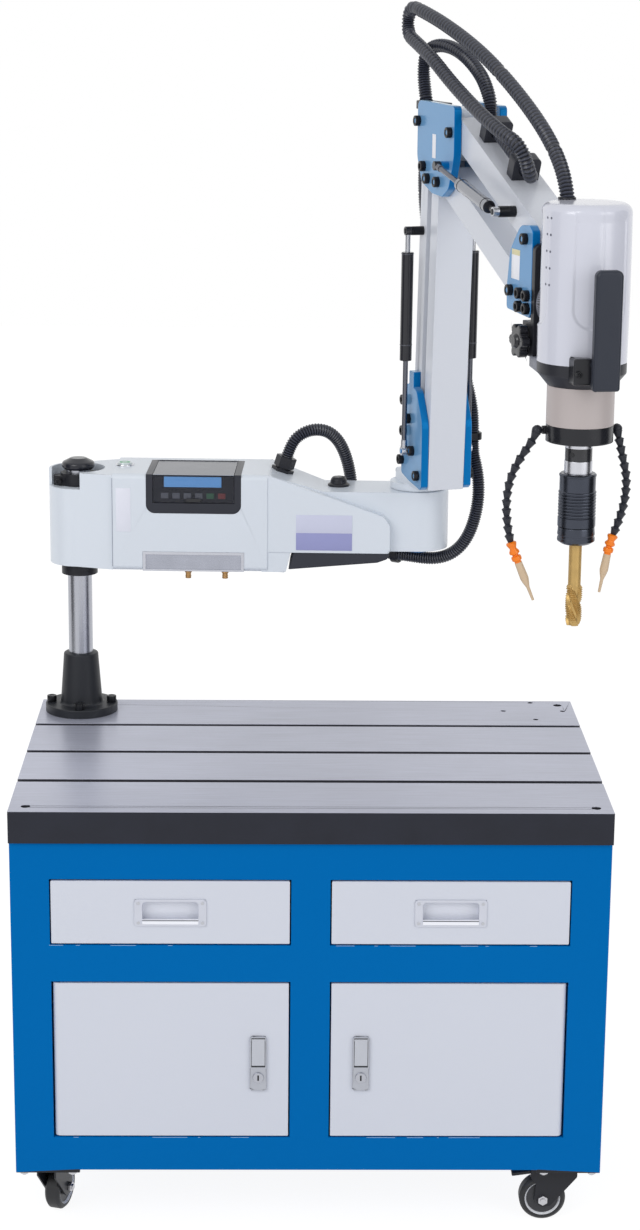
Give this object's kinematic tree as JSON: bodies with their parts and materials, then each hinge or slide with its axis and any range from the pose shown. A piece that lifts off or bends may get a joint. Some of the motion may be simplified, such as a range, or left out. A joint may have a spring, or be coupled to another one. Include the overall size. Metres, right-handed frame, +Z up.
{
  "type": "arm tapping machine",
  "caption": "Tapping machine: a spindle head with a quick-change chuck on two linked parallelogram arms, on a post over a T-slot table and a wheeled tool cabinet.",
  "frame": {"origin": "on the floor, under the centre of the cabinet and of the table", "axes": "+Z up, +X to the right as seen from the drawers, +Y towards the back"},
  "size_m": [0.9195, 0.816, 1.8445],
  "materials": {
    "arm_white": "satin powder coat",
    "black_metal": "satin black",
    "black_plastic": "fine texture",
    "bright_blue": "semi-gloss powder coat",
    "cabinet_blue": "semi-gloss enamel",
    "chuck_steel": "turned",
    "conduit_black": "ribbed",
    "cover_white": "moulded",
    "gear_grey": "satin",
    "hose_black": "moulded",
    "lock_chrome": "plated",
    "nose_steel": "polished",
    "panel_grey": "satin enamel",
    "port_silver": "brushed",
    "post_steel": "ground",
    "pull_silver": "satin",
    "smoke": "smoked polycarbonate",
    "spring_black": "gloss",
    "spring_grey": "satin",
    "spring_rod": "hard chromed",
    "table_iron": "machined",
    "tap_gold": "coated",
    "wheel_rubber": "smooth tread"
  },
  "bodies": {
    "cabinet": {"cabinet_frame": "cabinet_blue", "table_plate": "table_iron", "pillar_post": "post_steel", "post_collars": "black_metal"},
    "drawer_left": {"drawer_left": "panel_grey", "drawer_pull_left": "pull_silver"},
    "drawer_right": {"drawer_right": "panel_grey", "drawer_pull_right": "pull_silver"},
    "door_left": {"door_left": "panel_grey"},
    "door_right": {"door_right": "panel_grey"},
    "paddle_left": {"lock_paddle_left": "lock_chrome"},
    "paddle_right": {"lock_paddle_right": "lock_chrome"},
    "first_arm": {"arm_housing": "arm_white", "control_panel": "black_plastic", "port_plate": "port_silver", "arm_trim": "black_metal", "arm_glands": "black_plastic", "conduit_arm": "conduit_black", "conduit_elbow": "conduit_black"},
    "panel_cover": {"panel_cover": "smoke"},
    "power_button": {"power_button": "port_silver"},
    "turret": {"elbow_turret": "arm_white", "turret_plates": "bright_blue", "conduit_column": "conduit_black"},
    "column_rear": {"column_beam_rear": "arm_white"},
    "column_front": {"column_beam_front": "arm_white"},
    "column_spring_tubes": {"column_spring_tubes": "spring_black"},
    "column_spring_rods": {"column_spring_rods": "spring_rod"},
    "knuckle": {"knuckle_plates": "bright_blue", "conduit_arch": "conduit_black"},
    "forearm_upper": {"forearm_upper": "arm_white", "conduit_clamps": "black_plastic", "forearm_spring_tube": "spring_grey", "conduit_loop": "conduit_black"},
    "forearm_lower": {"forearm_lower": "arm_white"},
    "forearm_spring_rod": {"forearm_spring_rod": "spring_rod"},
    "head_bracket": {"head_plates": "bright_blue", "head_carrier": "black_metal", "conduit_drop": "conduit_black"},
    "lock_knob": {"lock_knob": "black_plastic"},
    "head": {"head_collar": "black_metal", "head_cover": "cover_white", "gearbox": "gear_grey", "grip_handle": "black_plastic"},
    "spindle": {"spindle_nose": "nose_steel", "chuck": "chuck_steel", "tap": "tap_gold"},
    "chuck_sleeve": {"chuck_sleeve": "black_metal"},
    "hose_left": {"coolant_hose_left": "hose_black"},
    "hose_right": {"coolant_hose_right": "hose_black"},
    "caster_fork_front_left": {"caster_fork_front_left": "black_metal"},
    "caster_wheel_front_left": {"caster_wheel_front_left": "wheel_rubber"},
    "caster_pedal_front_left": {"caster_pedal_front_left": "black_metal"},
    "caster_fork_front_right": {"caster_fork_front_right": "black_metal"},
    "caster_wheel_front_right": {"caster_wheel_front_right": "wheel_rubber"},
    "caster_pedal_front_right": {"caster_pedal_front_right": "black_metal"},
    "caster_fork_rear_left": {"caster_fork_rear_left": "black_metal"},
    "caster_wheel_rear_left": {"caster_wheel_rear_left": "wheel_rubber"},
    "caster_fork_rear_right": {"caster_fork_rear_right": "black_metal"},
    "caster_wheel_rear_right": {"caster_wheel_rear_right": "wheel_rubber"}
  },
  "joints": [
    {"name": "drawer_slide_left", "type": "slide", "parent": "cabinet", "child": "drawer_left", "axis": [0, -1, 0], "range_m": [0, 0.4]},
    {"name": "door_hinge_left", "type": "hinge", "parent": "cabinet", "child": "door_left", "pos_m": [-0.379, -0.286, 0.282], "axis": [0, 0, -1], "range_deg": [0, 100]},
    {"name": "paddle_hinge_left", "type": "hinge", "parent": "door_left", "child": "paddle_left", "pos_m": [-0.078, -0.298, 0.317], "axis": [-1, 0, 0], "range_deg": [0, 85]},
    {"name": "drawer_slide_right", "type": "slide", "parent": "cabinet", "child": "drawer_right", "axis": [0, -1, 0], "range_m": [0, 0.4]},
    {"name": "door_hinge_right", "type": "hinge", "parent": "cabinet", "child": "door_right", "pos_m": [0.379, -0.286, 0.282], "axis": [0, 0, 1], "range_deg": [0, 100]},
    {"name": "paddle_hinge_right", "type": "hinge", "parent": "door_right", "child": "paddle_right", "pos_m": [0.078, -0.298, 0.317], "axis": [-1, 0, 0], "range_deg": [0, 85]},
    {"name": "caster_swivel_front_left", "type": "hinge", "parent": "cabinet", "child": "caster_fork_front_left", "pos_m": [-0.4, -0.25, 0.08], "axis": [0, 0, 1], "continuous": true},
    {"name": "caster_roll_front_left", "type": "hinge", "parent": "caster_fork_front_left", "child": "caster_wheel_front_left", "pos_m": [-0.38918, -0.21671, 0.036], "axis": [-0.9511, 0.309, 0], "continuous": true},
    {"name": "brake_pedal_front_left", "type": "hinge", "parent": "caster_fork_front_left", "child": "caster_pedal_front_left", "pos_m": [-0.38517, -0.20435, 0.08], "axis": [-0.9511, 0.309, 0], "range_deg": [0, 12]},
    {"name": "caster_swivel_front_right", "type": "hinge", "parent": "cabinet", "child": "caster_fork_front_right", "pos_m": [0.4, -0.25, 0.08], "axis": [0, 0, 1], "continuous": true},
    {"name": "caster_roll_front_right", "type": "hinge", "parent": "caster_fork_front_right", "child": "caster_wheel_front_right", "pos_m": [0.365, -0.25, 0.036], "axis": [0, -1, 0], "continuous": true},
    {"name": "brake_pedal_front_right", "type": "hinge", "parent": "caster_fork_front_right", "child": "caster_pedal_front_right", "pos_m": [0.352, -0.25, 0.08], "axis": [0, -1, 0], "range_deg": [0, 12]},
    {"name": "caster_swivel_rear_left", "type": "hinge", "parent": "cabinet", "child": "caster_fork_rear_left", "pos_m": [-0.4, 0.25, 0.08], "axis": [0, 0, 1], "continuous": true},
    {"name": "caster_roll_rear_left", "type": "hinge", "parent": "caster_fork_rear_left", "child": "caster_wheel_rear_left", "pos_m": [-0.43289, 0.23803, 0.036], "axis": [0.342, -0.9397, 0], "continuous": true},
    {"name": "caster_swivel_rear_right", "type": "hinge", "parent": "cabinet", "child": "caster_fork_rear_right", "pos_m": [0.4, 0.25, 0.08], "axis": [0, 0, 1], "continuous": true},
    {"name": "caster_roll_rear_right", "type": "hinge", "parent": "caster_fork_rear_right", "child": "caster_wheel_rear_right", "pos_m": [0.36969, 0.2675, 0.036], "axis": [-0.5, -0.866, 0], "continuous": true},
    {"name": "post_swivel", "type": "hinge", "parent": "cabinet", "child": "first_arm", "pos_m": [-0.38, 0.24, 1], "axis": [0, 0, 1], "range_deg": [-100, 100]},
    {"name": "panel_cover_hinge", "type": "hinge", "parent": "first_arm", "child": "panel_cover", "pos_m": [-0.1842, 0.28417, 1.09565], "axis": [-0.9993, 0.0376, 0], "range_deg": [0, 75]},
    {"name": "power_button_press", "type": "slide", "parent": "first_arm", "child": "power_button", "axis": [0, 0, -1], "range_m": [0, 0.002], "stiffness_N_per_m": 900},
    {"name": "elbow_swivel", "type": "hinge", "parent": "first_arm", "child": "turret", "pos_m": [0.178, 0.219, 1.07], "axis": [0, 0, 1], "range_deg": [-77, 110], "deforming": ["conduit_elbow"]},
    {"name": "column_lean", "type": "hinge", "parent": "turret", "child": "column_rear", "pos_m": [0.19789, 0.15397, 1.195], "axis": [0.9563, 0.2924, 0], "range_deg": [-10, 45], "deforming": ["conduit_column"]},
    {"name": "column_front_pivot", "type": "hinge", "parent": "turret", "child": "column_front", "pos_m": [0.21075, 0.1119, 1.11], "axis": [0.9563, 0.2924, 0], "range_deg": [-10.5, 45.5]},
    {"name": "column_spring_rod_pivot", "type": "hinge", "parent": "turret", "child": "column_spring_rods", "pos_m": [0.20139, 0.1425, 1.145], "axis": [0.9563, 0.2924, 0], "range_deg": [-10, 41]},
    {"name": "column_spring_tube_pivot", "type": "hinge", "parent": "column_rear", "child": "column_spring_tubes", "pos_m": [0.20209, 0.14021, 1.49466], "axis": [0.9563, 0.2924, 0], "range_deg": [-7, 3]},
    {"name": "knuckle_pivot", "type": "hinge", "parent": "column_rear", "child": "knuckle", "pos_m": [0.20448, 0.13241, 1.66446], "axis": [0.9563, 0.2924, 0], "range_deg": [-45.5, 10.5]},
    {"name": "forearm_lift", "type": "hinge", "parent": "knuckle", "child": "forearm_upper", "pos_m": [0.24467, 0.00097, 1.6545], "axis": [0.9563, 0.2924, 0], "range_deg": [-35, 30], "deforming": ["conduit_arch"]},
    {"name": "forearm_lower_pivot", "type": "hinge", "parent": "knuckle", "child": "forearm_lower", "pos_m": [0.23005, 0.04878, 1.5775], "axis": [0.9563, 0.2924, 0], "range_deg": [-35.5, 30.5]},
    {"name": "forearm_spring_slide", "type": "slide", "parent": "forearm_upper", "child": "forearm_spring_rod", "axis": [0.2869, -0.9383, -0.1933], "range_m": [-0.0305, 0.0265]},
    {"name": "bracket_pivot", "type": "hinge", "parent": "forearm_upper", "child": "head_bracket", "pos_m": [0.33388, -0.29084, 1.52623], "axis": [0.9563, 0.2924, 0], "range_deg": [-30.5, 35.5], "deforming": ["conduit_loop"]},
    {"name": "lock_knob_turn", "type": "hinge", "parent": "head_bracket", "child": "lock_knob", "pos_m": [0.28417, -0.31635, 1.385], "axis": [-0.9563, -0.2924, 0], "range_deg": [-180, 180]},
    {"name": "head_swivel", "type": "hinge", "parent": "head_bracket", "child": "head", "pos_m": [0.34466, -0.32609, 1.44], "axis": [0.2924, -0.9563, 0], "range_deg": [-90, 90], "deforming": ["conduit_drop"]},
    {"name": "spindle_spin", "type": "hinge", "parent": "head", "child": "spindle", "pos_m": [0.366, -0.3959, 1.18], "axis": [0, 0, 1], "continuous": true},
    {"name": "chuck_sleeve_slide", "type": "slide", "parent": "spindle", "child": "chuck_sleeve", "axis": [0, 0, -1], "range_m": [0, 0.005]},
    {"name": "hose_swing_left", "type": "hinge", "parent": "head", "child": "hose_left", "pos_m": [0.30681, -0.39726, 1.272], "axis": [0.9563, 0.2924, 0], "range_deg": [-20, 20]},
    {"name": "hose_swing_right", "type": "hinge", "parent": "head", "child": "hose_right", "pos_m": [0.42014, -0.38144, 1.272], "axis": [0.9563, 0.2924, 0], "range_deg": [-20, 20]}
  ],
  "couplings": [
    {"joint": "column_front_pivot", "follows": "column_lean", "ratio": 1},
    {"joint": "knuckle_pivot", "follows": "column_lean", "ratio": -1},
    {"joint": "column_spring_rod_pivot", "follows": "column_lean", "ratio": 0.87},
    {"joint": "column_spring_tube_pivot", "follows": "column_lean", "ratio": -0.13},
    {"joint": "forearm_lower_pivot", "follows": "forearm_lift", "ratio": 1},
    {"joint": "bracket_pivot", "follows": "forearm_lift", "ratio": -1},
    {"joint": "forearm_spring_slide", "follows": "forearm_lift", "m_per_rad": 0.048}
  ]
}
